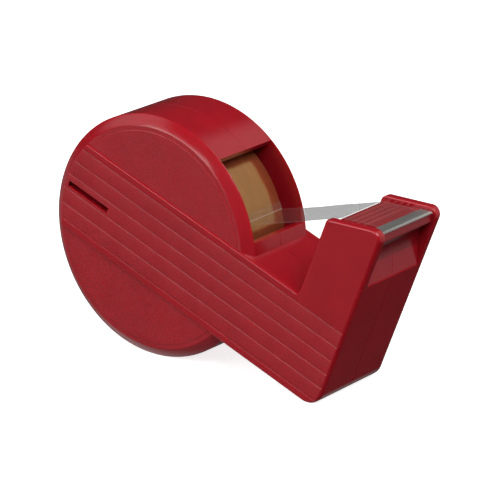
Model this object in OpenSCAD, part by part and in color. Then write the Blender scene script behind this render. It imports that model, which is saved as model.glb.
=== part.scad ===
// Hand tape dispenser: a flat drum that holds an 18 mm roll, a sloping arm and a cutter tower.
// Two moulded half shells meet at mid width. A ribbed rest between the tower's cheeks
// carries a toothed steel blade. The roll turns on a hub on the far shell's spindle.
// +X points to the cutter, +Y away from the grooved cover's side, +Z up, Z = 0 on the table.

/* [Drum] */
// Outer diameter of the drum
drum_d = 69.5; // [68:0.5:74]
// Overall width over the two grooved side bands
case_w = 29; // [28:0.2:32]
// Wall thickness of the moulded shells
wall = 2; // [1.6:0.1:2.2]
// Bevel of the drum's rim, measured along the radius
rim_bevel = 2.9; // [2:0.1:3.2]
// Lower edge of the tape window, as an angle from the arm's direction
window_low = 29.5; // [27:0.5:32]
// Upper edge of the tape window, as an angle from the arm's direction
window_high = 70.5; // [62:0.5:74]

/* [Arm and tower] */
// Distance from the drum's axis to the tower's front face, along the arm
arm_reach = 66.8; // [62:0.2:72]
// Height of the arm, which is also the height of the grooved band
arm_h = 27.4; // [24:0.2:29]
// Depth of the tower along the arm
tower_depth = 17.4; // [16:0.2:19]
// Height of the cheeks' level top above the table
tower_top = 53.2; // [52:0.1:54.4]
// Radius of the foot's corner
foot_r = 5; // [3:0.5:6]

/* [Side bands] */
// Number of grooves along the band
grooves = 6; // [4:1:6]
// Distance from one groove to the next
groove_pitch = 4.56; // [3.2:0.04:4.6]
// Depth of each groove
groove_depth = 0.3; // [0.2:0.05:0.4]
// Length of the pry slot in the cover
slot_len = 15; // [12:1:16]
// Height of the pry slot in the cover
slot_h = 1.8; // [1.4:0.1:2.4]

/* [Tape] */
// Width of the tape
tape_w = 18; // [12:1:19]
// Outer diameter of the wound tape
roll_d = 58.8; // [36:0.2:60]
// Bore of the tape's core
core_bore = 25.4; // [25:0.1:26]

/* [Cutter] */
// Distance from one blade tooth to the next
tooth_pitch = 1; // [0.8:0.1:1.5]
// Thickness of the steel blade
blade_t = 0.4; // [0.3:0.05:0.6]

/* [Hidden] */
$fn = 96;
eps = 0.01;

drum_r = drum_d / 2;
half_w = case_w / 2;
seam = 0.05;

// Both the drum and the foot's corner touch the table, which sets the arm's slope
foot_x = arm_reach - foot_r;
foot_z = foot_r - arm_h / 2;
slope = asin((drum_r - foot_r) / norm([foot_x, foot_z])) - atan2(-foot_z, foot_x);

// Heights across the width: the disc, the ring a little below it, the rim's edge, the inside
disc_y = half_w - 0.45;
lip_y = half_w - 0.6;
rim_y = lip_y - 2.15;
inner_y = lip_y - wall;
cheek_t = 2.7;
cheek_y = half_w - cheek_t;
face_r = drum_r - rim_bevel;
disc_r = face_r - 1.4;
rim_inner_r = drum_r - 2.2;

// Tower, in the arm's own axes: x along the arm, z across it
tower_back = arm_reach - tower_depth;
arm_top = arm_h / 2;
top_level = tower_top - drum_r;
top_r = 2.5;
back_r = 2;

// Tape rest and blade, in level axes from the drum's centre
rest_top = top_level - 1.1;
rest_low = rest_top - 3;
rest_x0 = level_x(tower_back, rest_top) + 1.4;
crease_z = 1.5;
front_x = level_x(arm_reach, crease_z);
recess_x = front_x - 0.3;
recess_top = 7.5;
recess_depth = 3.4;
recess_h = 6.4;
lip_r = 0.8;
lip_x = recess_x + recess_depth + lip_r;
blade_x1 = lip_x + 0.7;
step_x = blade_x1 - 4.2;
rest_block = 2.8;
fit_gap = 0.1;
ribs = 4;
rib_h = 0.4;
rib_w = 0.9;
rib_gap = 2.05;
rib_start = 1.2;
tab_start = 2.6;
tab_drop = 2.2;
tab_len = 6;
tab_h = 1.6;
tab_out = 1.2;
tooth = 0.8;

// Roll
roll_r = roll_d / 2;
core_r = core_bore / 2;
core_t = 1.5;
tape_half = tape_w / 2;
strip_t = 0.15;
strip_gap = 0.3;
strip_lift = 0.02;
peel_angle = 16.7;

// Spindle, hub and locating pegs. Places across the width are measured from mid width.
spindle_r = 6;
spindle_end = 9.6;
pilot_r = 3;
pilot_bore_r = 3.08;
pilot_end = 1;
pilot_bore_end = 6;
shoulder_y = inner_y - 0.7;
hub_bore_r = 6.06;
hub_tube_r = 7.8;
hub_near = shoulder_y - 1;
hub_far = shoulder_y - 0.4;
web = 1;
ring_t = 1.6;
flange_w = 2.6;
flange_t = 1;
web_holes = 6;
web_hole_r = 1.2;
root = 0.5;
peg_r = 1.6;
peg_len = 4;
peg_root = 2;
peg_bore_r = 1.68;
peg_bore_end = 4.6;
peg_boss_r = 3.2;
pegs = [[44, 0], [57, -5], [58, 25]];
slot_start = -30.4;
slot_mid = -0.5;

// Centres of the round corners at the top of the cheeks, in the arm's axes
front_c = [arm_reach - top_r, arm_z(arm_reach - top_r, top_level - top_r)];
back_c = [tower_back + back_r, arm_z(tower_back + back_r, top_level - back_r)];

// The plan origin is midway between the drum's back and the tower's tip
tip_x = level_x(front_c[0], top_level - top_r) + top_r;
drum_x = (drum_r - tip_x) / 2;

// Level x of the point at a place along the arm and a level height
function level_x(along, level) = (along + level * sin(slope)) / cos(slope);

// Height across the arm of the point at a place along the arm and a level height
function arm_z(along, level) = (level + along * sin(slope)) / cos(slope);

// A point in level axes, turned into the arm's axes
function to_arm(p) = [p[0] * cos(slope) - p[1] * sin(slope), p[0] * sin(slope) + p[1] * cos(slope)];

// Points along an arc from angle a0 to a1
function arc(c, r, a0, a1, n = 10) =
    [for (i = [0:n]) c + r * [cos(a0 + (a1 - a0) * i / n), sin(a0 + (a1 - a0) * i / n)]];

// Extrudes an outline in the x-z plane between two places across the width
module across(y0, y1) {
    rotate([90, 0, 0])
        translate([0, 0, -y1])
            linear_extrude(y1 - y0) children();
}

// A round piece about the drum's axis between two places across the width
module round_y(r, y0, y1, at = [0, 0]) {
    translate([at[0], 0, at[1]])
        rotate([90, 0, 0])
            translate([0, 0, -y1])
                cylinder(r = r, h = y1 - y0);
}

// From level axes at the drum's centre to the table frame
module level_place() {
    translate([drum_x, 0, drum_r]) children();
}

// From the arm's axes to the table frame
module arm_place() {
    level_place() rotate([0, slope, 0]) children();
}

// Arm and tower outline, with the foot and the cheeks' top corners rounded
module arm_outline() {
    polygon(concat(
        [[0, arm_top], [tower_back, arm_top]],
        arc(back_c, back_r, 180, 90 + slope, 10),
        arc(front_c, top_r, 90 + slope, 0, 16),
        arc([foot_x, foot_z], foot_r, 0, -90, 10),
        [[0, -arm_top]]
    ));
}

// Half of the drum's outside, as a solid of revolution up to the disc
module drum_half() {
    rotate([90, 0, 0])
        rotate_extrude($fn = 180)
            polygon([[0, 0], [drum_r, 0], [drum_r, rim_y], [face_r, lip_y], [disc_r, lip_y],
                     [disc_r, disc_y], [0, disc_y]]);
}

// The grooved band's face: the lines run along the arm from the drum to the tower's front
module band_half() {
    intersection() {
        across(-half_w, 0) {
            circle(r = face_r);
            intersection() {
                arm_outline();
                translate([0, -arm_h / 2]) square([arm_reach, arm_h]);
            }
        }
        difference() {
            across(-half_w, 0) translate([-drum_r, -arm_h / 2]) square([drum_r + arm_reach, arm_h]);
            for (i = [0:grooves - 1])
                translate([-drum_r - 1, -half_w, (i - (grooves - 1) / 2) * groove_pitch])
                    rotate([0, 90, 0])
                        cylinder(r = groove_depth, h = drum_r + arm_reach + 2, $fn = 4);
        }
    }
}

// Outside of one half of the case, on the near side
module half_outside() {
    drum_half();
    across(-disc_y, 0) arm_outline();
    band_half();
    across(-half_w, 0)
        intersection() {
            arm_outline();
            translate([tower_back, arm_top - 1]) square([tower_depth, drum_r]);
        }
}

// Space inside the drum
module drum_space() {
    round_y(rim_inner_r, -inner_y, 1);
}

// Space inside the arm and the tower, closed above by a floor under the tape rest
module arm_space() {
    ceiling = rest_low - wall;
    back_x = tower_back + wall;
    block_x = recess_x - rest_block - wall;
    across(-inner_y, 1)
        polygon(concat(
            [[drum_r - 1, arm_top - wall], [back_x, arm_top - wall], [back_x, arm_z(back_x, ceiling)],
             to_arm([block_x, ceiling]), to_arm([block_x, recess_top - wall]),
             to_arm([recess_x - wall, recess_top - wall]), to_arm([recess_x - wall, crease_z + 0.5]),
             [arm_reach - wall, arm_z(arm_reach, crease_z) - 1]],
            arc([foot_x, foot_z], foot_r - wall, 0, -90, 8),
            [[drum_r - 3, -arm_top + wall]]
        ));
}

// Opening between the cheeks for the tape rest and the finger recess, in level axes
module rest_space() {
    far = 20;
    across(-cheek_y, 1)
        polygon([[rest_x0 - far, rest_low], [recess_x - rest_block - fit_gap, rest_low],
                 [recess_x - rest_block - fit_gap, recess_top], [recess_x, recess_top],
                 [recess_x, crease_z], [recess_x + far, crease_z], [recess_x + far, top_level + far],
                 [rest_x0 - far, top_level + far]]);
}

// Window in the drum's rim where the tape comes out
module window_space() {
    reach = drum_r / cos((window_high - window_low) / 2) + 1;
    across(-rim_y, 1)
        polygon([[0, 0], reach * [cos(window_low), sin(window_low)],
                 reach * [cos(window_high), sin(window_high)]]);
}

// Everything that both halves of the case share
module half_shell() {
    difference() {
        half_outside();
        drum_space();
        arm_space();
        rotate([0, -slope, 0]) rest_space();
        difference() {
            window_space();
            round_y(rim_inner_r - eps, -half_w, 2);
        }
        rotate([0, -slope, 0]) rest_tab(fit_gap, -cheek_y - tab_out - fit_gap, 0);
    }
}

// Side tab that holds the tape rest in a cheek's pocket, in level axes
module rest_tab(grow, y0, y1) {
    translate([rest_x0 + tab_start - grow, y0, rest_top - tab_drop - grow])
        cube([tab_len + 2 * grow, y1 - y0, tab_h + 2 * grow]);
}

// Half shell with the spindle that the hub turns on, on the side away from the slot
module far_shell() {
    color([0.6, 0.1, 0.14])
        arm_place() {
            mirror([0, 1, 0]) half_shell();
            difference() {
                union() {
                    round_y(spindle_r, -spindle_end, inner_y + root);
                    round_y(hub_tube_r, shoulder_y, inner_y + root);
                }
                round_y(pilot_bore_r, -spindle_end - 1, pilot_bore_end);
            }
            for (p = pegs) {
                round_y(peg_r, -peg_len, peg_root, p);
                round_y(peg_boss_r, 0, inner_y + root, p);
            }
        }
}

// Grooved half shell that comes off to change the roll, with a slot to pry it open
module near_cover() {
    color([0.6, 0.1, 0.14])
        arm_place()
            difference() {
                union() {
                    half_shell();
                    round_y(pilot_r, -inner_y - root, -pilot_end);
                    round_y(hub_tube_r, -inner_y - root, -shoulder_y);
                    for (p = pegs)
                        round_y(peg_boss_r, -inner_y - root, 0, p);
                }
                for (p = pegs)
                    round_y(peg_bore_r, -peg_bore_end, 1, p);
                translate([slot_start, -half_w - 1, slot_mid - slot_h / 2])
                    cube([slot_len, half_w - inner_y + 2, slot_h]);
                translate([-drum_d, -seam, -drum_d]) cube([3 * drum_d, drum_d, 3 * drum_d]);
            }
}

// Ribbed bridge between the cheeks: tape rest on top, blade seat in front, finger recess below
module tape_rest() {
    near_side = -cheek_y + fit_gap;
    color([0.52, 0.09, 0.12])
        level_place() {
            across(near_side, cheek_y)
                polygon(concat(
                    [[rest_x0, rest_low], [rest_x0, rest_top], [step_x, rest_top],
                     [step_x, rest_top - blade_t], [lip_x, rest_top - blade_t]],
                    arc([lip_x - lip_r, recess_top + recess_h + lip_r], lip_r, 0, -90, 5),
                    [for (p = arc([1, 0], 1, 90, 180, 12))
                        [recess_x + recess_depth * p[0], recess_top + recess_h * p[1]]],
                    [[recess_x - rest_block, recess_top], [recess_x - rest_block, rest_low]]
                ));
            for (i = [0:ribs - 1])
                translate([rest_x0 + rib_start + i * rib_gap, near_side, rest_top - eps])
                    cube([rib_w, cheek_y - near_side, rib_h + eps]);
            rest_tab(0, -cheek_y - tab_out, near_side + eps);
            rest_tab(0, cheek_y - eps, cheek_y + tab_out);
        }
}

// Steel strip with a row of teeth along its front edge
module cutter_blade() {
    teeth = floor(2 * (cheek_y - fit_gap) / tooth_pitch);
    half = teeth * tooth_pitch / 2;
    color([0.75, 0.75, 0.77])
        level_place()
            translate([0, 0, rest_top - blade_t])
                linear_extrude(blade_t)
                    polygon(concat(
                        [[step_x, half], [step_x, -half]],
                        [for (i = [0:teeth - 1]) each [
                            [blade_x1 - tooth, -half + i * tooth_pitch],
                            [blade_x1, -half + (i + 0.5) * tooth_pitch]]],
                        [[blade_x1 - tooth, half]]
                    ));
}

// Hub that carries the core: inner tube, web with holes, outer ring and one flange
module roll_hub() {
    ring_in = core_r - ring_t;
    color([0.86, 0.86, 0.83])
        level_place()
            difference() {
                union() {
                    round_y(hub_tube_r, -hub_near, hub_far);
                    round_y(core_r, -tape_half, tape_half + flange_t);
                    round_y(core_r + flange_w, tape_half, tape_half + flange_t);
                }
                round_y(hub_bore_r, -half_w, half_w);
                difference() {
                    round_y(ring_in, -half_w, -web);
                    round_y(hub_tube_r, -half_w - 1, half_w);
                }
                difference() {
                    round_y(ring_in, web, half_w);
                    round_y(hub_tube_r, -half_w, half_w + 1);
                }
                for (i = [0:web_holes - 1])
                    rotate([0, i * 360 / web_holes, 0])
                        round_y(web_hole_r, -2 * web, 2 * web, [(ring_in + hub_tube_r) / 2, 0]);
            }
}

// Card core of the roll
module tape_core() {
    color([0.76, 0.66, 0.5])
        level_place()
            difference() {
                round_y(core_r + core_t, -tape_half, tape_half);
                round_y(core_r, -tape_half - 1, tape_half + 1);
            }
}

// Wound tape
module tape_roll() {
    color([0.72, 0.5, 0.24])
        level_place()
            difference() {
                round_y(roll_r, -tape_half, tape_half);
                round_y(core_r + core_t, -tape_half - 1, tape_half + 1);
            }
}

// Free tape: off the roll, over the ribs and the blade's back
module tape_strip() {
    start = (roll_r + strip_gap) * [cos(peel_angle), sin(peel_angle)];
    rest_back = [rest_x0 + rib_start, rest_top + rib_h];
    last_rib = rest_back + [(ribs - 1) * rib_gap + rib_w, 0];
    end = [blade_x1 - tooth - 0.1, rest_top + strip_lift];
    color([0.8, 0.8, 0.78])
        level_place()
            across(-tape_half, tape_half)
                polygon([start, rest_back, last_rib, end, end + [0, strip_t], last_rib + [0, strip_t],
                         rest_back + [0, strip_t], start + [0, strip_t]]);
}

far_shell();
near_cover();
tape_rest();
cutter_blade();
roll_hub();
tape_core();
tape_roll();
tape_strip();
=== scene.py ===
"""Looks of the hand tape dispenser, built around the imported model.

Two red moulded half shells, the ribbed tape rest, the toothed blade, the hub with its core and roll,
and the free tape. Shapes are made in millimetres from the drum's axis, then placed in the model's frame.
"""

import math

import bmesh
import bpy
from mathutils import Matrix, Vector, noise


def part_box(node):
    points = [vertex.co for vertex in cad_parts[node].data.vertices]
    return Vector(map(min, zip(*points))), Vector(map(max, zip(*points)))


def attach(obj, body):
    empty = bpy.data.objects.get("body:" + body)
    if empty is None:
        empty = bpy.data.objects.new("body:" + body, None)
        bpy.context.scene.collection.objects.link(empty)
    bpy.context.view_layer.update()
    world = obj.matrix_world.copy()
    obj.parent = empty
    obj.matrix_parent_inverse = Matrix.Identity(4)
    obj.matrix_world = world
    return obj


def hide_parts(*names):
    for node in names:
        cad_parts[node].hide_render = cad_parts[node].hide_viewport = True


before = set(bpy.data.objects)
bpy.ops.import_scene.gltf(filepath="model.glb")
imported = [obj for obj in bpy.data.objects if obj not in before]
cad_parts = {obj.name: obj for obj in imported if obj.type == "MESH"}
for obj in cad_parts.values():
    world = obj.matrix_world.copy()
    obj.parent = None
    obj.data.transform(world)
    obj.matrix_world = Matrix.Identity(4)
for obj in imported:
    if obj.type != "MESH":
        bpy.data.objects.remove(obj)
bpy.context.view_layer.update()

MM = 0.001                         # metres in a millimetre

# ---------------------------------------------------------------- sizes from the frame, in mm
ROLL_LOW, ROLL_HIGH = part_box("tape_roll")
AXIS = (ROLL_LOW + ROLL_HIGH) / 2
ROLL_R = (ROLL_HIGH.z - ROLL_LOW.z) / 2 / MM
TAPE_HALF = ROLL_HIGH.y / MM
DRUM_R = AXIS.z / MM
HALF_W = -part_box("near_cover")[0].y / MM

# ---------------------------------------------------------------- sizes of the case, in mm
ARM_H = 27.4
ARM_REACH = 66.8
TOWER_DEPTH = 17.4
FOOT_R = 5.0
TOP_R = 2.5
BACK_R = 2.0
WALL = 2.0
TOP_LEVEL = 53.2 - DRUM_R          # cheeks' top above the drum's axis
REST_TOP = TOP_LEVEL - 1.1
REST_LOW = REST_TOP - 3.0
LIP_Y = HALF_W - 0.6
DISC_Y = HALF_W - 0.45
RIM_Y = LIP_Y - 2.15
INNER_Y = LIP_Y - WALL
SHOULDER_Y = INNER_Y - 0.7
CHEEK_Y = HALF_W - 2.7
FACE_R = DRUM_R - 2.9
DISC_R = FACE_R - 1.4
RIM_INNER_R = DRUM_R - 2.2
WINDOW = (29.5, 70.5)              # ends of the tape window round the drum, in the arm's axes, in degrees
GROOVES = 6
GROOVE_PITCH = 4.56
TOWER_BACK = ARM_REACH - TOWER_DEPTH
ARM_TOP = ARM_H / 2
FOOT = Vector((ARM_REACH - FOOT_R, FOOT_R - ARM_H / 2))
SLOPE = math.asin((DRUM_R - FOOT_R) / FOOT.length) - math.atan2(-FOOT.y, FOOT.x)
SIN, COS = math.sin(SLOPE), math.cos(SLOPE)

# From the drum's level axes, and from the arm's axes, to the model's frame
LEVEL = Matrix.Translation(AXIS) @ Matrix.Scale(MM, 4)
ARM = Matrix.Translation(AXIS) @ Matrix.Rotation(SLOPE, 4, "Y") @ Matrix.Scale(MM, 4)


def level_x(along, level):
    """Level x of the point at a place along the arm and a level height."""
    return (along + level * SIN) / COS


def arm_z(along, level):
    """Height across the arm of the point at a place along the arm and a level height."""
    return (level + along * SIN) / COS


def to_arm(x, z):
    """A point in level axes, turned into the arm's axes."""
    return (x * COS - z * SIN, x * SIN + z * COS)


CREASE_Z = 1.5                     # where the front leans back, above the drum's axis
FRONT_X = level_x(ARM_REACH, CREASE_Z)
RECESS_X = FRONT_X - 0.3
RECESS_TOP = 7.5
RECESS_DEPTH = 3.4
RECESS_H = 6.4
LIP_R = 0.8
LIP_X = RECESS_X + RECESS_DEPTH + LIP_R
BLADE_X = LIP_X + 0.7
STEP_X = BLADE_X - 4.2
REST_X0 = level_x(TOWER_BACK, REST_TOP) + 1.4
BLADE_T = 0.4
REST_BLOCK = 2.8                   # thickness of the rest's front part, behind the recess
FIT_GAP = 0.1
# The tab at each end of the rest: its ends along, its lower and upper side, how far it reaches out
TAB = (REST_X0 + 2.6, REST_X0 + 8.6, REST_TOP - 2.2, REST_TOP - 0.6, 1.2)

# Rounded edges of the case. A negative one is a chamfer.
LOW_EDGE = 0.6
FRONT_EDGE = 1.2
TOP_EDGE = 0.5
BACK_EDGE = 1.3
BAND_EDGE = -0.3
CHEEK_EDGE = 0.35
CORNER_EDGE = 0.2                  # where the band meets the tower's back
SEAM_EDGE = 0.09                   # chamfer along the seam
NEAR_SEAM = 0.005                  # depth of the near half's seam from mid width
SOFT_END = 0.2                     # length over which the cheek's inner rounding dies out

# Steps that keep joins and cuts clean
SKIN = 0.01                        # keeps two joined faces from lying in one plane
PAST = 1                           # how far a cutting tool reaches past what it cuts
ROOT = 0.5                         # how deep a joined piece sits in the wall behind it

# ---------------------------------------------------------------- outlines
def arc(centre, radius, start, end, steps):
    """Points along an arc, with angles in degrees."""
    turns = (math.radians(start + (end - start) * i / steps) for i in range(steps + 1))
    return [(centre[0] + radius * math.cos(t), centre[1] + radius * math.sin(t)) for t in turns]


def filleted(corners, closed=True, steps=5):
    """A polyline with its corners rounded. Each corner is (x, y, radius)."""
    path = []
    count = len(corners)
    for i, (x, y, radius) in enumerate(corners):
        here = Vector((x, y))
        at_end = not closed and i in (0, count - 1)
        if radius <= 0 or at_end:
            path.append((x, y))
            continue
        back = (Vector(corners[i - 1][:2]) - here).normalized()
        ahead = (Vector(corners[(i + 1) % count][:2]) - here).normalized()
        half = back.angle(ahead) / 2
        middle = here + (back + ahead).normalized() * (radius / math.sin(half))
        first = here + back * (radius / math.tan(half)) - middle
        turn = first.angle_signed(here + ahead * (radius / math.tan(half)) - middle)
        for k in range(steps + 1):
            t = -turn * k / steps
            path.append((middle.x + first.x * math.cos(t) - first.y * math.sin(t),
                         middle.y + first.x * math.sin(t) + first.y * math.cos(t)))
    return path


def inward(points):
    """For each point of a closed anticlockwise outline, the step that moves both its edges in by 1."""
    steps = []
    for i, point in enumerate(points):
        here = Vector(point[:2])
        before = (here - Vector(points[i - 1][:2])).normalized()
        after = (Vector(points[(i + 1) % len(points)][:2]) - here).normalized()
        a, b = Vector((-before.y, before.x)), Vector((-after.y, after.x))
        steps.append((a + b) / (1 + a.dot(b)))
    return steps


def edged(points, first, last, inner):
    """Gives outline points an outer edge that changes evenly from first to last, and an inner edge."""
    spread = max(1, len(points) - 1)
    return [(x, y, first + (last - first) * i / spread, inner) for i, (x, y) in enumerate(points)]


def side_outline():
    """The grooved band, arm and cheek seen from the side, anticlockwise in the arm's axes."""
    band_r = FACE_R - 0.1
    band_turn = math.degrees(math.asin(ARM_TOP / band_r))
    front_x, back_x = ARM_REACH - TOP_R, TOWER_BACK + BACK_R
    front = (front_x, arm_z(front_x, TOP_LEVEL - TOP_R))
    back = (back_x, arm_z(back_x, TOP_LEVEL - BACK_R))
    lean = math.degrees(SLOPE)
    crease = arm_z(ARM_REACH, CREASE_Z)
    seat = arm_z(TOWER_BACK, REST_LOW)
    rise = 1                       # height over which the cheek's inner rounding reaches its size
    fade = 1.6                     # height over which the tower's back edge shrinks to the corner's
    turn_in = 0.8                  # length over which the corner's edge becomes the band's chamfer
    run_out = 12                   # length over which the underside's edge keeps one size, behind the foot
    return (edged(arc(FOOT, FOOT_R, -90, 0, 18), LOW_EDGE, FRONT_EDGE, 0)
            + edged([(ARM_REACH, crease - SOFT_END)], FRONT_EDGE, FRONT_EDGE, 0)
            + edged([(ARM_REACH, crease)], FRONT_EDGE, FRONT_EDGE, 0)
            + edged([(ARM_REACH, crease + rise)], FRONT_EDGE, FRONT_EDGE, CHEEK_EDGE)
            + edged(arc(front, TOP_R, 0, 90 + lean, 16), FRONT_EDGE, TOP_EDGE, CHEEK_EDGE)
            + edged(arc(back, BACK_R, 90 + lean, 180, 10), TOP_EDGE, BACK_EDGE, CHEEK_EDGE)
            + edged([(TOWER_BACK, seat + rise)], BACK_EDGE, BACK_EDGE, CHEEK_EDGE)
            + edged([(TOWER_BACK, seat)], BACK_EDGE, BACK_EDGE, 0)
            + edged([(TOWER_BACK, seat - SOFT_END)], BACK_EDGE, BACK_EDGE, 0)
            + edged([(TOWER_BACK, ARM_TOP + fade)], BACK_EDGE, BACK_EDGE, 0)
            + edged([(TOWER_BACK, ARM_TOP)], CORNER_EDGE, CORNER_EDGE, 0)
            + edged([(TOWER_BACK - turn_in, ARM_TOP)], BAND_EDGE, BAND_EDGE, 0)
            + edged(arc((0, 0), band_r, 180 - band_turn, 180 + band_turn, 48), BAND_EDGE, BAND_EDGE, 0)
            + edged([(FOOT.x - run_out, -ARM_TOP)], LOW_EDGE, LOW_EDGE, 0))


def middle_outline():
    """The arm and tower between the cheeks, with a seat for the rest and a set-back front."""
    block_x = RECESS_X - REST_BLOCK - FIT_GAP
    seat = arm_z(TOWER_BACK, REST_LOW)
    top, back, front = ARM_TOP - SKIN, TOWER_BACK + SKIN, ARM_REACH - SKIN
    return (arc(FOOT, FOOT_R - SKIN, -90, 0, 18)
            + [(front, arm_z(front, CREASE_Z)), to_arm(RECESS_X, CREASE_Z), to_arm(RECESS_X, RECESS_TOP),
               to_arm(block_x, RECESS_TOP), to_arm(block_x, REST_LOW), (back, seat), (back, top),
               (DRUM_R / 2, top), (DRUM_R / 2, -top)])


def arm_space_outline():
    """The hollow of the arm and tower, with a floor above it under the tape rest."""
    ceiling = REST_LOW - WALL
    back_x = TOWER_BACK + WALL
    block_x = RECESS_X - REST_BLOCK - WALL
    front_x, crease = RECESS_X - WALL, arm_z(ARM_REACH, CREASE_Z)
    start_x = DRUM_R - 4
    return (arc(FOOT, FOOT_R - WALL, -90, 0, 12)
            + [(ARM_REACH - WALL, crease - 1), to_arm(front_x, CREASE_Z + 0.5),
               to_arm(front_x, RECESS_TOP - WALL), to_arm(block_x, RECESS_TOP - WALL),
               to_arm(block_x, ceiling), (back_x, arm_z(back_x, ceiling)), (back_x, ARM_TOP - WALL),
               (start_x, ARM_TOP - WALL), (start_x, -ARM_TOP + WALL)])


def plank_profile():
    """Slightly rounded planks with V grooves between them, as (across, depth) points."""
    crown, half_v, groove = 0.045, 0.25, 0.22
    half_steps = 3
    points = []
    for i in range(GROOVES):
        middle = (i - (GROOVES - 1) / 2) * GROOVE_PITCH
        rim = HALF_W if i == 0 else HALF_W - crown
        points.append((middle - half_v, rim))
        points.append((middle, HALF_W - groove))
        if i == GROOVES - 1:
            points.append((middle + half_v, HALF_W))
            break
        for k in range(2 * half_steps + 1):
            place = k / half_steps - 1
            across = middle + GROOVE_PITCH / 2 + place * (GROOVE_PITCH / 2 - half_v)
            points.append((across, HALF_W - crown * place * place))
    return points


# ---------------------------------------------------------------- mesh making
def object_from(name, bm):
    """A new object with the built mesh, its faces turned outwards."""
    mesh = bpy.data.meshes.new(name)
    bmesh.ops.recalc_face_normals(bm, faces=bm.faces)
    bm.to_mesh(mesh)
    bm.free()
    obj = bpy.data.objects.new(name, mesh)
    bpy.context.scene.collection.objects.link(obj)
    return obj


def loft(name, rings, closed=False):
    """A solid through rings of points, all with the same count: with flat ends, or closed on itself."""
    bm = bmesh.new()
    loops = [[bm.verts.new(point) for point in ring] for ring in rings]
    count = len(loops[0])
    pairs = list(zip(loops, loops[1:]))
    if closed:
        pairs.append((loops[-1], loops[0]))
    for low, high in pairs:
        for i in range(count):
            j = (i + 1) % count
            bm.faces.new((low[i], low[j], high[j], high[i]))
    if not closed:
        bm.faces.new(loops[0])
        bm.faces.new(loops[-1])
    return object_from(name, bm)


# Inset and drop across a chamfer with soft corners, for a chamfer of size 1
CHAMFER = ((0.0, 1.5), (0.07, 1.08), (0.22, 0.78), (0.5, 0.5), (0.78, 0.22), (1.08, 0.07), (1.5, 0.0))


def edge_shape(size, k, steps):
    """Inset and drop of step k across an edge: a quarter round, or a chamfer with soft corners."""
    if size < 0:
        inset, drop = CHAMFER[round(k * (len(CHAMFER) - 1) / steps)]
        return -size * inset, -size * drop
    t = math.pi / 2 * k / steps
    return size * (1 - math.cos(t)), size * (1 - math.sin(t))


def slab(name, outline, inner, outer, seam_edge=0.0, steps=6):
    """An outline in the x-z plane, made solid from depth inner to depth outer towards -Y.

    An outline point may carry the size of its outer edge and the radius of its inner edge.
    """
    moves = inward(outline)
    outer_edges = [p[2] if len(p) > 2 else 0.0 for p in outline]
    inner_edges = [p[3] if len(p) > 3 else seam_edge for p in outline]
    rings = []

    def ring(shapes, face, side):
        """Adds the outline once more, moved in and dropped from a face by the given shapes."""
        rings.append([(p[0] + m.x * inset, -(face - side * drop), p[1] + m.y * inset)
                      for p, m, (inset, drop) in zip(outline, moves, shapes)])

    inner_steps = steps if len(outline[0]) > 3 else 1
    for k in range(inner_steps, -1, -1):
        ring([edge_shape(r, k, inner_steps) for r in inner_edges], inner, -1)
    for k in range(steps + 1):
        ring([edge_shape(r, k, steps) for r in outer_edges], outer, 1)
    return loft(name, rings)


def revolve(name, profile, steps=256, centre=(0.0, 0.0), closed=False):
    """A solid of revolution about the width direction. The profile is (radius, depth) points."""
    rings = []
    for radius, depth in profile:
        turns = (2 * math.pi * i / steps for i in range(steps))
        rings.append([(centre[0] + radius * math.cos(t), -depth, centre[1] + radius * math.sin(t))
                      for t in turns])
    return loft(name, rings, closed)


def boolean(target, tool, operation):
    """Joins the tool to the target, or cuts it away, for good."""
    modifier = target.modifiers.new("join", "BOOLEAN")
    modifier.operation = operation
    modifier.solver = "MANIFOLD"
    modifier.object = tool
    graph = bpy.context.evaluated_depsgraph_get()
    mesh = bpy.data.meshes.new_from_object(target.evaluated_get(graph))
    target.modifiers.clear()
    old = target.data
    target.data = mesh
    bpy.data.meshes.remove(old)
    old_tool = tool.data
    bpy.data.objects.remove(tool)
    bpy.data.meshes.remove(old_tool)


def cut(target, tool):
    """Cuts the tool away from the target."""
    boolean(target, tool, "DIFFERENCE")


def add(target, tool):
    """Joins the tool to the target."""
    boolean(target, tool, "UNION")


def pin(name, radius, start, end, at=(0.0, 0.0), edge=0.25):
    """A round pin or bore across the width, from depth start to end, with its end edge softened."""
    step = edge if end > start else -edge
    bulge = 0.3                    # how far the soft edge stays inside a square corner, as a share of it
    profile = [(radius, start), (radius, end - step), (radius - edge * bulge, end - step * bulge),
               (radius - edge, end)]
    return revolve(name, profile, 72, at)


def box(name, low, high):
    """A plain block between two corners, each (along, depth, across)."""
    outline = [(low[0], low[2]), (high[0], low[2]), (high[0], high[2]), (low[0], high[2])]
    return slab(name, outline, low[1], high[1])


SHARP_ANGLE = 32                    # between two faces, in degrees, past which their edge stays sharp


def finish_mesh(obj, place):
    """Moves a millimetre mesh into the model's frame, shades it smooth and keeps flat faces flat."""
    obj.data.transform(place)
    if place.determinant() < 0:
        obj.data.flip_normals()
    bm = bmesh.new()
    bm.from_mesh(obj.data)
    bmesh.ops.dissolve_degenerate(bm, dist=1e-7, edges=bm.edges)
    bm.to_mesh(obj.data)
    bm.free()
    obj.data.shade_smooth()
    obj.data.set_sharp_from_angle(angle=math.radians(SHARP_ANGLE))
    weighted = obj.modifiers.new("weighted_normals", "WEIGHTED_NORMAL")
    weighted.keep_sharp = True
    weighted.weight = 60


def paint(obj, materials, rule):
    """Gives the mesh its materials. The rule names the one for a face's centre and normal, in mm."""
    obj.data.materials.clear()
    for material in materials:
        obj.data.materials.append(material)
    for polygon in obj.data.polygons:
        polygon.material_index = rule(polygon.center, polygon.normal)


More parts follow.
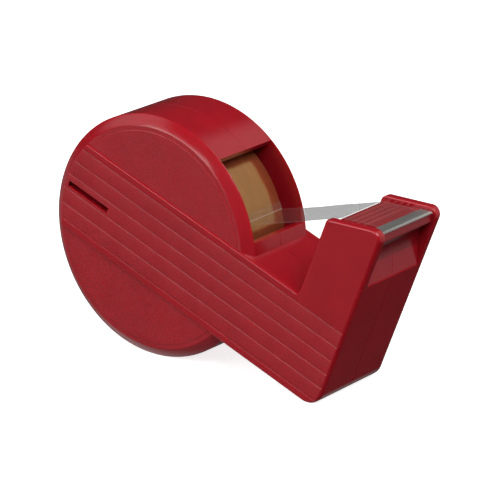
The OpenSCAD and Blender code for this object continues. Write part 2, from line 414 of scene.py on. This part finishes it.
# ---------------------------------------------------------------- the case
def drum_profile():
    """Outside of half the drum: rim, slightly domed bevel, a narrow ring and the disc a little above it."""
    bevel = []
    run = Vector((FACE_R - DRUM_R, LIP_Y - RIM_Y))
    out = Vector((run.y, -run.x)).normalized()
    dome, steps = 0.12, 8
    for k in range(1, steps):
        t = k / steps
        point = Vector((DRUM_R, RIM_Y)) + run * t + out * dome * 4 * t * (1 - t)
        bevel.append((point.x, point.y, 0))
    slant = 0.15                   # how far the disc's edge leans out
    corners = ([(DRUM_R, RIM_Y / 2, 0), (DRUM_R, RIM_Y, 0.15)] + bevel
               + [(FACE_R, LIP_Y, 0.4), (DISC_R + slant, LIP_Y, 0.05), (DISC_R, DISC_Y, 0.12),
                  (DISC_R - 2, DISC_Y, 0)])
    return filleted(corners, closed=False, steps=4)


def half_case(name, seam):
    """One half of the case, in the arm's axes, with depth measured from mid width."""
    case = slab(name, side_outline(), CHEEK_Y, HALF_W)
    planks = plank_profile()
    over = HALF_W + PAST
    middle_y = CHEEK_Y + 1.2       # inside the cheeks' walls
    window_y = RIM_Y - 0.05        # just short of the rim's edge
    inner_edge = 0.6
    ring = [planks[0][:1] + (over,)] + planks + [planks[-1][:1] + (over,)]
    cut(case, loft("planks", [[(u, -d, v) for v, d in ring] for u in (-DRUM_R, ARM_REACH + PAST)]))
    add(case, slab("middle", middle_outline(), seam, middle_y, SEAM_EDGE))
    add(case, revolve("drum", [(DRUM_R - SEAM_EDGE, seam), (DRUM_R, seam + SEAM_EDGE)] + drum_profile()))
    cut(case, revolve("drum_space", [(RIM_INNER_R, -PAST), (RIM_INNER_R, INNER_Y - inner_edge),
                                     (RIM_INNER_R - inner_edge / 3, INNER_Y - inner_edge / 3),
                                     (RIM_INNER_R - inner_edge, INNER_Y)], 192))
    cut(case, slab("arm_space", arm_space_outline(), -PAST, INNER_Y))
    ring = arc((0, 0), RIM_INNER_R - ROOT, *reversed(WINDOW), 24) + arc((0, 0), DRUM_R + PAST, *WINDOW, 24)
    cut(case, slab("window", ring, -PAST, window_y))
    low_x, high_x, low_z, high_z, out = TAB
    pocket = box("pocket", (low_x - FIT_GAP, 0, low_z - FIT_GAP),
                 (high_x + FIT_GAP, CHEEK_Y + out + FIT_GAP, high_z + FIT_GAP))
    pocket.data.transform(Matrix.Rotation(-SLOPE, 4, "Y"))
    cut(case, pocket)
    return case


SPINDLE_R = 6.0
SPINDLE_END = 9.6                   # how far the spindle reaches past mid width
SHOULDER_R = 7.8
PILOT_R = 3.0
PILOT_END = 1.0                     # how far the pilot stops short of mid width
PILOT_BORE_END = 6.0                # how far its bore goes on into the far half
PEG_R = 1.6
PEG_ROOT = 2.0                      # depth in the far half's boss where a peg begins
PEG_LEN = 4.0                       # how far it reaches past mid width
PEG_BORE_END = 4.6
BORE_GAP = 0.08                     # between a peg or the pilot and its bore, on the radius
BOSS_R = 3.2
PEGS = ((44, 0), (57, -5), (58, 25))
SLOT = (-30.4, -15.4, -1.1, 0.4)    # ends along the arm, then its lower and upper edge
SLOT_FLARE = 0.4                    # how far its lower side opens outwards


def case_rule(centre, normal):
    """0 for the glossy case, 1 for the fine texture of the disc, its ring and the grooved band."""
    depth = abs(centre.y)
    radius = math.hypot(centre.x, centre.z)
    facing = abs(normal.y)
    near_level = 0.05
    if facing > 0.9 and DISC_Y + near_level > depth > LIP_Y - near_level and radius < FACE_R - 0.1:
        return 1
    band = (GROOVES - 1) / 2 * GROOVE_PITCH + 0.35
    if facing > 0.6 and depth > DISC_Y + near_level and abs(centre.z) < band:
        return 1
    return 0


def near_cover():
    """The half that comes off: slot through the disc, pilot for the spindle and bored bosses."""
    case = half_case("near_cover", NEAR_SEAM)
    add(case, pin("shoulder", SHOULDER_R, INNER_Y + ROOT, SHOULDER_Y))
    add(case, pin("pilot", PILOT_R, INNER_Y + ROOT, PILOT_END, edge=0.5))
    for peg in PEGS:
        add(case, pin("boss", BOSS_R, INNER_Y + ROOT, NEAR_SEAM, peg))
        cut(case, pin("peg_bore", PEG_R + BORE_GAP, -PAST, PEG_BORE_END, peg))
    start, end, low, high = SLOT
    inside, outside = INNER_Y - PAST, HALF_W + PAST
    cut(case, box("slot", (start, inside, low), (end, outside, high)))
    flare = [(inside, high), (inside, low), (outside, low - SLOT_FLARE), (outside, high)]
    cut(case, loft("slot_flare", [[(x, -depth, z) for depth, z in flare] for x in (start, end)]))
    return case


def far_shell():
    """The half that stays: spindle for the hub and the pegs."""
    case = half_case("far_shell", 0.0)
    add(case, pin("shoulder", SHOULDER_R, INNER_Y + ROOT, SHOULDER_Y))
    add(case, pin("spindle", SPINDLE_R, INNER_Y + ROOT, -SPINDLE_END, edge=0.5))
    cut(case, pin("pilot_bore", PILOT_R + BORE_GAP, -SPINDLE_END - PAST, PILOT_BORE_END))
    for peg in PEGS:
        add(case, pin("boss", BOSS_R, INNER_Y + ROOT, 0.0, peg))
        add(case, pin("peg", PEG_R, PEG_ROOT, -PEG_LEN, peg, edge=0.4))
    return case


# ---------------------------------------------------------------- tape rest and blade
RIBS = 4
RIB_H = 0.4
RIB_W = 0.9
RIB_GAP = 2.05                      # from one rib to the next
FIRST_RIB = REST_X0 + 1.2
TOOTH_PITCH = 1.0
TOOTH = 0.8                         # depth of the teeth


def tape_rest():
    """The bridge between the cheeks, in level axes: ribs on top, blade seat, lip and finger recess."""
    soft = 0.14
    block_x = RECESS_X - REST_BLOCK
    seat = REST_TOP - BLADE_T
    outline = [(REST_X0, REST_LOW), (block_x, REST_LOW), (block_x, RECESS_TOP)]
    outline += [(RECESS_X + RECESS_DEPTH * x, RECESS_TOP + RECESS_H * z)
                for x, z in arc((1, 0), 1, 180, 90, 20)]
    outline += arc((LIP_X - LIP_R, RECESS_TOP + RECESS_H + LIP_R), LIP_R, -80, 0, 8)
    corners = [(LIP_X, seat - 1, 0), (LIP_X, seat, 0.2), (STEP_X, seat, 0), (STEP_X, REST_TOP, 0.1)]
    for i in reversed(range(RIBS)):
        low = FIRST_RIB + i * RIB_GAP
        corners += [(low + RIB_W + soft, REST_TOP, soft), (low + RIB_W, REST_TOP + RIB_H, soft),
                    (low, REST_TOP + RIB_H, soft), (low - soft, REST_TOP, soft)]
    corners += [(REST_X0, REST_TOP, 0.45), (REST_X0, REST_LOW + 1, 0)]
    outline += filleted(corners, closed=False)
    rest = slab("tape_rest", outline, -CHEEK_Y, CHEEK_Y - FIT_GAP)
    low_x, high_x, low_z, high_z, out = TAB
    tab_root = 1
    add(rest, box("tab", (low_x, -CHEEK_Y - out, low_z), (high_x, -CHEEK_Y + tab_root, high_z)))
    add(rest, box("tab", (low_x, CHEEK_Y - FIT_GAP - tab_root, low_z), (high_x, CHEEK_Y + out, high_z)))
    return rest


def cutter_blade():
    """A steel strip whose toothed edge is ground thin on top, built as cross-sections across the width."""
    teeth = math.floor(2 * (CHEEK_Y - FIT_GAP) / TOOTH_PITCH)
    ground, fade, soft = 1.7, 0.1, 0.05
    tip_drop, valley_drop = 0.26, 0.12
    top, low = REST_TOP, REST_TOP - BLADE_T
    rings = []
    for j in range(2 * teeth + 1):
        y = (j - teeth) * TOOTH_PITCH / 2
        tip = j % 2
        edge_x = BLADE_X if tip else BLADE_X - TOOTH
        edge_z = top - (tip_drop if tip else valley_drop)
        rings.append([(x, y, z) for x, z in (
            (STEP_X, low + soft), (STEP_X + soft, low), (edge_x, low), (edge_x, edge_z),
            (BLADE_X - ground, top - fade / 10), (BLADE_X - ground - fade, top), (STEP_X + soft, top),
            (STEP_X, top - soft))])
    return loft("cutter_blade", rings)


# ---------------------------------------------------------------- hub, core, roll and free tape
CORE_R = 12.7
CORE_T = 1.5
HUB_BORE_R = 6.06
HUB_RING = 1.6                      # thickness of the ring that carries the core
FLANGE = 2.6                        # how far the flange stands out past the ring
FLANGE_T = 1
WEB = 1.0                           # half the web's thickness
HOLES = 6
HOLE_R = 1.2
PEEL = 16.7                         # turn at which the tape leaves the roll, in degrees above level
PEEL_LIFT = 0.35                    # how far off the roll it is there
FILM = 0.09


def roll_hub():
    """Hub: bored tube, web with six holes, outer ring for the core and one flange on the far side."""
    ring_in = CORE_R - HUB_RING
    flange, flange_y = CORE_R + FLANGE, -TAPE_HALF - FLANGE_T
    near, far = SHOULDER_Y - 1, 0.4 - SHOULDER_Y
    loop = [(HUB_BORE_R, near, 0.2), (SHOULDER_R, near, 0.3), (SHOULDER_R, WEB, 0.3), (ring_in, WEB, 0.3),
            (ring_in, TAPE_HALF, 0.2), (CORE_R, TAPE_HALF, 0.3), (CORE_R, -TAPE_HALF, 0),
            (flange, -TAPE_HALF, 0.3), (flange, flange_y, 0.3), (ring_in, flange_y, 0.2),
            (ring_in, -WEB, 0.3), (SHOULDER_R, -WEB, 0.3), (SHOULDER_R, far, 0.3), (HUB_BORE_R, far, 0.2)]
    hub = revolve("roll_hub", filleted(loop, steps=3), 144, closed=True)
    middle = (ring_in + SHOULDER_R) / 2
    for i in range(HOLES):
        turn = 2 * math.pi * i / HOLES
        cut(hub, pin("hole", HOLE_R, -3 * WEB, 3 * WEB, (middle * math.cos(turn), middle * math.sin(turn))))
    return hub


def tape_core():
    """Card tube with slightly crushed ends."""
    outer = CORE_R + CORE_T
    loop = [(CORE_R, TAPE_HALF, 0.25), (outer, TAPE_HALF, 0.1), (outer, -TAPE_HALF, 0.1),
            (CORE_R, -TAPE_HALF, 0.25)]
    return revolve("tape_core", filleted(loop, steps=3), 144, closed=True)


def tape_roll():
    """Wound tape: each side has fine uneven rings, and the outside is smooth film."""
    inner, turns, uneven = CORE_R + CORE_T, 84, 0.05
    side = []
    for k in range(turns + 1):
        radius = inner + (ROLL_R - inner) * k / turns
        fine = noise.noise(Vector((radius * 3.1, 4.0, 7.0)))
        broad = noise.noise(Vector((radius * 0.7, 2, 1)))
        side.append((radius, TAPE_HALF - uneven * (1 + fine + 0.6 * broad)))
    loop = side + [(radius, -depth) for radius, depth in reversed(side)]
    return revolve("tape_roll", loop, 256, closed=True)


def strip_path():
    """Where the free tape runs, in level axes: off the roll, over the ribs and onto the blade."""
    skim, clear = 0.02, 0.03       # small gaps to the roll, and to the ribs and the blade
    path = arc((0, 0), ROLL_R + skim, PEEL + 4.5, PEEL + 0.8, 6)
    peel, start_r = math.radians(PEEL), ROLL_R + skim + PEEL_LIFT
    start = Vector((start_r * math.cos(peel), start_r * math.sin(peel)))
    rest_z = REST_TOP + RIB_H + clear
    back = Vector((FIRST_RIB, rest_z))
    span = 44
    sag, dip = 0.22, 0.05          # of the free span, and between two ribs
    for k in range(span + 1):
        t = k / span
        point = start.lerp(back, t)
        path.append((point.x, point.y - sag * 4 * t * (1 - t)))
    last = FIRST_RIB + (RIBS - 1) * RIB_GAP + RIB_W
    for i in range(RIBS):
        low = FIRST_RIB + i * RIB_GAP
        if i:
            path.append((low, rest_z))
        path.append((low + RIB_W, rest_z))
        if i < RIBS - 1:
            path.append((low + (RIB_W + RIB_GAP) / 2, rest_z - dip))
    end = (BLADE_X - TOOTH - 0.15, REST_TOP + clear)
    steps = 8
    for k in range(1, steps + 1):
        t = k / steps
        path.append((last + (end[0] - last) * t, rest_z + (end[1] - rest_z) * (3 * t * t - 2 * t ** 3)))
    return path


def tape_strip():
    """A thin clear film with slight waves in the free span and a torn end along the teeth."""
    path = strip_path()
    across = 72
    flutter, curl, tear = 0.16, 0.12, 0.35
    rings = []
    for i, (x, z) in enumerate(path):
        before, after = path[max(0, i - 1)], path[min(len(path) - 1, i + 1)]
        along = Vector((after[0] - before[0], after[1] - before[1])).normalized()
        lift = Vector((-along.y, along.x))
        free = max(0.0, math.sin(math.pi * min(1, max(0, (x - ROLL_R) / (FIRST_RIB - ROLL_R)))))
        top, low = [], []
        for j in range(across + 1):
            y = TAPE_HALF * (2 * j / across - 1)
            rise = noise.noise(Vector((x * 0.09, y * 0.12, 3.0)))
            wave = free * (flutter * rise + curl * (y / TAPE_HALF) ** 2)
            torn = 0.0
            if i == len(path) - 1:
                torn = tear * abs((2 * y / TOOTH_PITCH) % 2 - 1)
            point = Vector((x + torn, z)) + lift * wave
            edge = point + lift * FILM
            top.append((edge.x, y, edge.y))
            low.append((point.x, y, point.y))
        rings.append(top + low[::-1])
    return loft("tape_strip", rings)


# ---------------------------------------------------------------- materials
class Shader:
    """A Principled material with its noise, ramps and bumps, made in a few calls."""

    def __init__(self, name):
        self.material = bpy.data.materials.new(name)
        self.material.use_nodes = True
        self.nodes = self.material.node_tree.nodes
        self.links = self.material.node_tree.links
        self.bsdf = self.nodes["Principled BSDF"]
        self.place = self.nodes.new("ShaderNodeTexCoord").outputs["Object"]
        self.height = None

    def set(self, **values):
        """Sets plain values of the Principled shader, with _ for the spaces in their names."""
        for key, value in values.items():
            self.bsdf.inputs[key.replace("_", " ")].default_value = value

    def feed(self, value, socket):
        """Links a node's output to a socket, or gives the socket a plain value."""
        if isinstance(value, bpy.types.NodeSocket):
            self.links.new(value, socket)
        else:
            socket.default_value = value

    def axis(self, name):
        """One of the object coordinates, X, Y or Z, in metres."""
        node = self.nodes.new("ShaderNodeSeparateXYZ")
        self.feed(self.place, node.inputs[0])
        return node.outputs[name]

    def maths(self, operation, *values):
        """The result of a Math node."""
        node = self.nodes.new("ShaderNodeMath")
        node.operation = operation
        for value, socket in zip(values, node.inputs):
            self.feed(value, socket)
        return node.outputs["Value"]

    def mixed(self, factor, first, second, blend="MIX"):
        """Two colours mixed, with the factor as the second one's share."""
        node = self.nodes.new("ShaderNodeMix")
        node.data_type = "RGBA"
        node.blend_type = blend
        for value, socket in zip((factor, first, second), (0, 6, 7)):
            self.feed(value, node.inputs[socket])
        return node.outputs[2]

    def stretched(self, scale=(1, 1, 1), location=(0, 0, 0)):
        """Object coordinates, scaled and moved."""
        node = self.nodes.new("ShaderNodeMapping")
        node.inputs["Scale"].default_value = scale
        node.inputs["Location"].default_value = location
        self.feed(self.place, node.inputs["Vector"])
        return node.outputs["Vector"]

    def noise(self, size_mm, detail=3.0, rough=0.55, place=None):
        """Noise whose features are about size_mm across."""
        node = self.nodes.new("ShaderNodeTexNoise")
        node.inputs["Scale"].default_value = 1 / (size_mm * MM)
        node.inputs["Detail"].default_value = detail
        node.inputs["Roughness"].default_value = rough
        self.feed(place or self.place, node.inputs["Vector"])
        return node.outputs["Fac"]

    def ramp(self, source, stops):
        """A colour ramp. Each stop is (position, colour)."""
        node = self.nodes.new("ShaderNodeValToRGB")
        elements = node.color_ramp.elements
        while len(elements) < len(stops):
            elements.new(0.5)
        for element, (position, colour) in zip(elements, stops):
            element.position = position
            element.color = (*colour, 1) if len(colour) == 3 else colour
        self.feed(source, node.inputs["Fac"])
        return node.outputs["Color"]

    def spread(self, source, low, high, start=0.3, end=0.7):
        """Maps a value from start..end to low..high."""
        node = self.nodes.new("ShaderNodeMapRange")
        node.inputs["From Min"].default_value = start
        node.inputs["From Max"].default_value = end
        node.inputs["To Min"].default_value = low
        node.inputs["To Max"].default_value = high
        self.feed(source, node.inputs["Value"])
        return node.outputs["Result"]

    def bump(self, source, height_mm, strength=1.0):
        """Adds relief of about height_mm to what is already there."""
        node = self.nodes.new("ShaderNodeBump")
        node.inputs["Distance"].default_value = height_mm * MM
        node.inputs["Strength"].default_value = strength
        self.feed(source, node.inputs["Height"])
        if self.height:
            self.feed(self.height, node.inputs["Normal"])
        self.height = node.outputs["Normal"]
        self.feed(self.height, self.bsdf.inputs["Normal"])

    def colour(self, source):
        """Takes the base colour from a node's output."""
        self.feed(source, self.bsdf.inputs["Base Color"])

    def roughness(self, source):
        """Takes the roughness from a node's output."""
        self.feed(source, self.bsdf.inputs["Roughness"])


def shade(colour, factor):
    """A colour made darker or lighter."""
    return tuple(min(1.0, c * factor) for c in colour)


RED = (0.35, 0.008, 0.0155)


def case_material(name, rough, grain_mm, grain_height, mottle):
    """Moulded red styrene: even colour with faint clouds, slight translucency at edges, fine grain."""
    m = Shader(name)
    m.set(Subsurface_Weight=0.55, Subsurface_Radius=(1.0, 0.12, 0.1), Subsurface_Scale=0.0024, IOR=1.48)
    clouds = m.ramp(m.noise(9, 4), [(0.3, shade(RED, 0.93)), (0.5, RED), (0.72, shade(RED, 1.06))])
    grain = m.noise(grain_mm, 3, 0.65)
    speckle = m.ramp(grain, [(0.3, (1 - mottle,) * 3), (0.7, (1 + mottle,) * 3)])
    m.colour(m.mixed(1.0, clouds, speckle, "MULTIPLY"))
    m.roughness(m.spread(m.noise(5, 5, 0.62), rough * 0.85, rough * 1.2))
    m.bump(m.noise(14, 2), 0.03, 0.5)
    m.bump(grain, grain_height)
    return m.material


def rest_material():
    """Red plastic, darker than the case."""
    m = Shader("rest_plastic")
    m.set(Subsurface_Weight=0.15, Subsurface_Radius=(1.0, 0.12, 0.1), Subsurface_Scale=0.0012, IOR=1.5)
    m.colour(m.ramp(m.noise(6, 4), [(0.3, shade(RED, 0.66)), (0.7, shade(RED, 0.78))]))
    m.roughness(m.spread(m.noise(3, 5), 0.16, 0.27))
    m.bump(m.noise(0.5, 2), 0.006)
    return m.material


def steel_material():
    """Rolled strip steel, with fine lines across the strip and bright teeth."""
    m = Shader("blade_steel")
    m.set(Metallic=0.75, Anisotropic=0.4)
    lines = m.noise(0.16, 4, 0.6, m.stretched((1.0, 0.05, 1.0)))
    teeth_start = AXIS.x + (BLADE_X - TOOTH) * MM
    ground = m.spread(m.axis("X"), 0.0, 1.0, teeth_start - 0.5 * MM, teeth_start - 0.1 * MM)
    rolled = m.ramp(lines, [(0.3, (0.26, 0.26, 0.25)), (0.7, (0.38, 0.37, 0.36))])
    m.colour(m.mixed(ground, rolled, (0.85, 0.84, 0.8, 1)))
    m.roughness(m.spread(lines, 0.3, 0.45))
    m.bump(lines, 0.008)
    return m.material


def hub_material():
    """Off-white plastic."""
    m = Shader("hub_plastic")
    m.set(Subsurface_Weight=0.2, Subsurface_Radius=(1.0, 0.9, 0.7), Subsurface_Scale=0.001)
    m.colour(m.ramp(m.noise(5, 4), [(0.3, (0.62, 0.61, 0.56)), (0.7, (0.70, 0.69, 0.65))]))
    m.roughness(m.spread(m.noise(2, 4), 0.34, 0.48))
    m.bump(m.noise(0.4, 2), 0.01)
    return m.material


def rings_about_axis(m, size_mm, detail=4.0):
    """Noise that changes with the distance from the reel's axis and hardly round it."""
    node = m.nodes.new("ShaderNodeVectorMath")
    node.operation = "MULTIPLY"
    node.inputs[1].default_value = (1, 0, 1)
    m.feed(m.stretched(location=(-AXIS.x, 0, -AXIS.z)), node.inputs[0])
    length = m.nodes.new("ShaderNodeVectorMath")
    length.operation = "LENGTH"
    m.feed(node.outputs[0], length.inputs[0])
    joined = m.nodes.new("ShaderNodeCombineXYZ")
    m.feed(length.outputs["Value"], joined.inputs["X"])
    return m.noise(size_mm, detail, 0.7, joined.outputs["Vector"])


def card_material():
    """Grey-brown card, with plies at its ends and fibres on its faces."""
    m = Shader("core_card")
    plies = rings_about_axis(m, 0.25)
    m.colour(m.ramp(plies, [(0.3, (0.29, 0.2, 0.11)), (0.7, (0.46, 0.35, 0.21))]))
    m.set(Roughness=0.85)
    m.bump(plies, 0.04)
    m.bump(m.noise(0.3, 5, 0.7), 0.02)
    return m.material


def roll_material():
    """Wound clear film: amber in depth, with faint rings on its sides and streaks round its outside."""
    m = Shader("wound_tape")
    m.set(Subsurface_Weight=0.2, Subsurface_Radius=(1.0, 0.55, 0.2), Subsurface_Scale=0.0015, IOR=2.8,
          Specular_Tint=(1.0, 0.72, 0.24, 1.0))
    turns = rings_about_axis(m, 0.35)
    clouds = m.noise(7, 3, 0.5, m.stretched((1, 1.8, 1)))
    amber = m.ramp(clouds, [(0.3, (0.18, 0.042, 0.017)), (0.5, (0.21, 0.05, 0.02)),
                            (0.7, (0.24, 0.062, 0.024))])
    tint = m.ramp(turns, [(0.3, (0.8, 0.8, 0.8)), (0.7, (1, 1, 1))])
    m.colour(m.mixed(0.6, amber, tint, "MULTIPLY"))
    m.roughness(m.spread(clouds, 0.1, 0.17))
    m.bump(turns, 0.02)
    m.bump(m.noise(3.5, 2, 0.5, m.stretched((1, 0.6, 1))), 0.09)
    return m.material


CONTACT_HAZE = 0.04                 # how much of the film shows where it lies on something
# how much the dark grey of painted shade shows where the film hangs free
FREE_SHADE = 0.5
# how much the painted highlights along its edges show
EDGE_GLINT = 0.16
GLINT_WIDTH = 0.11                    # width of its painted highlights along the cut edges and the peel line
SHADE_START = 41.2                   # level x at which the free part turns to a dark grey of painted shade, at mid width
SHADE_SOFT = 1.6                     # length over which it does
SHADE_SLANT = 0.75                   # how much nearer the drum that is, for each mm towards the far side


def film_material():
    """Clear film: nearly unseen close to the roll and on the rest, a dark grey of painted shade between a
    slanting line and the rest, and painted highlights along its cut edges and where it peels off the roll."""
    m = Shader("clear_tape")
    m.set(IOR=1.47, Specular_IOR_Level=0.4)
    along, across = m.axis("X"), m.axis("Y")
    rest_start = AXIS.x + FIRST_RIB * MM
    peel_line = AXIS.x + ROLL_R * math.cos(math.radians(PEEL)) * MM
    rim, width = TAPE_HALF * MM, GLINT_WIDTH * MM
    # the painted shade of the free span starts along a slanting line
    slanted = m.maths("MULTIPLY_ADD", across, SHADE_SLANT, along)
    clear_end = AXIS.x + SHADE_START * MM
    freed = m.spread(slanted, 0.0, 1.0, clear_end, clear_end + SHADE_SOFT * MM)
    landed = m.spread(along, 1.0, 0.0, rest_start - MM, rest_start)
    free = m.maths("MULTIPLY", freed, landed)
    # painted highlights: pale lines along the cut edges and across the peel line
    side = m.spread(m.maths("ABSOLUTE", across), 0.0, 1.0, rim - 1.5 * width, rim - 0.5 * width)
    peel = m.maths("MULTIPLY", m.spread(along, 0.0, 1.0, peel_line, peel_line + width),
                   m.spread(along, 1.0, 0.0, peel_line + 2 * width, peel_line + 3 * width))
    edge = m.maths("MAXIMUM", side, peel)
    clear = m.spread(free, CONTACT_HAZE, FREE_SHADE, 0, 1)
    glint = m.spread(edge, 0.0, EDGE_GLINT, 0, 1)
    m.feed(m.maths("MAXIMUM", clear, glint), m.bsdf.inputs["Alpha"])
    # the dark grey where the film hangs free is painted shade
    film_grey_and_shade = m.ramp(free, [(0.0, (0.34, 0.33, 0.31)), (1.0, (0.035, 0.035, 0.035))])
    # pale colour of the painted highlights
    m.colour(m.mixed(edge, film_grey_and_shade, (0.6, 0.55, 0.5, 1)))
    m.roughness(m.spread(m.noise(3, 4), 0.12, 0.25))
    m.bump(m.noise(4, 3, 0.5, m.stretched((1, 2, 1))), 0.02)
    return m.material


# ---------------------------------------------------------------- build
MIRROR_Y = Matrix.Scale(-1, 4, (0, 1, 0))
gloss = case_material("case_gloss", rough=0.16, grain_mm=0.9, grain_height=0.004, mottle=0.02)
grained = case_material("case_grained", rough=0.34, grain_mm=0.45, grain_height=0.08, mottle=0.2)

PIECES = (
    (near_cover, ARM, (gloss, grained), "cover", "case_plastic"),
    (far_shell, ARM @ MIRROR_Y, (gloss, grained), "case", "case_plastic"),
    (tape_rest, LEVEL, (rest_material(),), "case", "rest_plastic"),
    (cutter_blade, LEVEL, (steel_material(),), "case", "blade_steel"),
    (roll_hub, LEVEL, (hub_material(),), "reel", "hub_plastic"),
    (tape_core, LEVEL, (card_material(),), "reel", "core_card"),
    (tape_roll, LEVEL, (roll_material(),), "reel", "wound_tape"),
    (tape_strip, LEVEL, (film_material(),), "case", "clear_tape"),
)

for build, place, materials, body, slot in PIECES:
    piece = build()
    node = build.__name__
    piece.name = node + "_form"
    paint(piece, materials, case_rule if len(materials) > 1 else lambda centre, normal: 0)
    finish_mesh(piece, place)
    piece.visible_shadow = build is not tape_strip
    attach(piece, body)
    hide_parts(node)


# ---------------------------------------------------------------- studio
# Brightness of each part of the surroundings
ROOM = 0.03
BACKDROP = 0.6
BACKDROP_LOW = 0.33                 # its lower part
NEAR_SIDE = 0.16                    # share that is left of it on the camera's side
UPPER_LEFT = 1.0
TABLE = 0.22
TABLE_BELOW = 0.45                  # the table straight below and behind

CAMERA_PLACE = Vector((498.95, -631.18, 272.36))    # from the drum's axis, in mm
CAMERA_TURN = (70.851, -0.788, 37.221)              # in degrees
LENS = 219.18                                       # in mm, for a sensor 36 mm wide


def stage_floor():
    """A pale floor that the camera sees, and that neither lights the object nor shows in it."""
    mesh = bpy.data.meshes.new("floor")
    half = 3.0
    corners = ((-half, -half), (half, -half), (half, half), (-half, half))
    bm = bmesh.new()
    bm.faces.new([bm.verts.new((x, y, 0)) for x, y in corners])
    bm.to_mesh(mesh)
    bm.free()
    floor = bpy.data.objects.new("floor", mesh)
    bpy.context.scene.collection.objects.link(floor)
    m = Shader("floor")
    m.colour(m.ramp(m.noise(900, 2), [(0.3, (0.86, 0.86, 0.86)), (0.7, (0.89, 0.89, 0.89))]))
    m.set(Roughness=0.8, Specular_IOR_Level=0.2, Emission_Color=(1, 1, 1, 1), Emission_Strength=0.8)
    mesh.materials.append(m.material)
    floor.visible_glossy = False
    floor.visible_diffuse = False
    floor.visible_shadow = False


def softbox(name, direction, distance, size, watts):
    """A rectangular area light aimed at the middle of the object."""
    light = bpy.data.lights.new(name, "AREA")
    light.shape = "RECTANGLE"
    light.size, light.size_y = size
    light.energy = watts
    lamp = bpy.data.objects.new(name, light)
    aim = Vector((0, 0, AXIS.z))
    way = Vector(direction).normalized()
    lamp.location = aim + way * distance
    lamp.rotation_euler = way.to_track_quat("Z", "Y").to_euler()
    bpy.context.scene.collection.objects.link(lamp)


def surround():
    """What the glossy plastic mirrors: a dim room, a pale backdrop behind and to the right, a bright
    area high on the left, and a table on the left, lighter straight below."""
    world = bpy.data.worlds.new("surround")
    world.use_nodes = True
    nodes, links = world.node_tree.nodes, world.node_tree.links
    split = nodes.new("ShaderNodeSeparateXYZ")
    links.new(nodes.new("ShaderNodeTexCoord").outputs["Generated"], split.inputs[0])

    def step(axis, start, end, low, high):
        """A soft step from low to high, between two places along one axis of the view direction."""
        node = nodes.new("ShaderNodeMapRange")
        node.interpolation_type = "SMOOTHSTEP"
        for key, value in (("From Min", start), ("From Max", end), ("To Min", low), ("To Max", high)):
            node.inputs[key].default_value = value
        links.new(split.outputs[axis], node.inputs["Value"])
        return node.outputs["Result"]

    def combine(operation, *parts):
        """Multiplies or adds up all the parts."""
        total = parts[0]
        for part in parts[1:]:
            node = nodes.new("ShaderNodeMath")
            node.operation = operation
            links.new(total, node.inputs[0])
            links.new(part, node.inputs[1])
            total = node.outputs["Value"]
        return total

    right = step("X", -0.2, 0.05, 0.0, 1.0)
    behind = step("Y", -0.3, 0.2, NEAR_SIDE, 1.0)
    height = step("Z", -0.35, 0.35, BACKDROP_LOW, BACKDROP)
    shadow = step("Z", -0.55, -0.35, 0.08, 1.0)
    backdrop = combine("MULTIPLY", right, behind, height, shadow)
    high_left = combine("MULTIPLY", step("X", -0.55, -0.35, UPPER_LEFT, 0.0),
                        step("Y", -0.3, 0.0, 1.0, 0.0), step("Z", 0.15, 0.4, 0.0, 1.0))
    left = step("X", -0.1, 0.2, 1.0, 0.0)
    table = combine("MULTIPLY", step("Z", -0.2, 0.05, TABLE, 0.0), left, step("Y", 0.3, 0.6, 1.0, 0.2))
    below = combine("MULTIPLY", step("Z", -0.75, -0.5, TABLE_BELOW, 0.0), left,
                    step("Y", -0.2, 0.1, 0.0, 1.0))
    room = step("Z", -0.2, 0.05, 0.0, ROOM)
    total = combine("ADD", backdrop, high_left, table, below, room)
    links.new(total, nodes["Background"].inputs["Strength"])
    nodes["Background"].inputs["Color"].default_value = (1, 1, 1, 1)
    bpy.context.scene.world = world


def camera():
    """A long lens in front of the drum, to its right and a little above."""
    data = bpy.data.cameras.new("camera")
    data.lens = LENS
    data.sensor_width = 36
    obj = bpy.data.objects.new("camera", data)
    obj.location = AXIS + CAMERA_PLACE * MM
    obj.rotation_euler = tuple(math.radians(turn) for turn in CAMERA_TURN)
    bpy.context.scene.collection.objects.link(obj)
    bpy.context.scene.camera = obj


stage_floor()
surround()
softbox("overhead", direction=(0.56, -0.3, 0.77), distance=1.0, size=(0.6, 0.6), watts=8.9)
softbox("front", direction=(-0.35, -0.9, 0.3), distance=1.1, size=(0.9, 0.7), watts=7.4)
camera()
bpy.context.scene.view_settings.view_transform = "Standard"
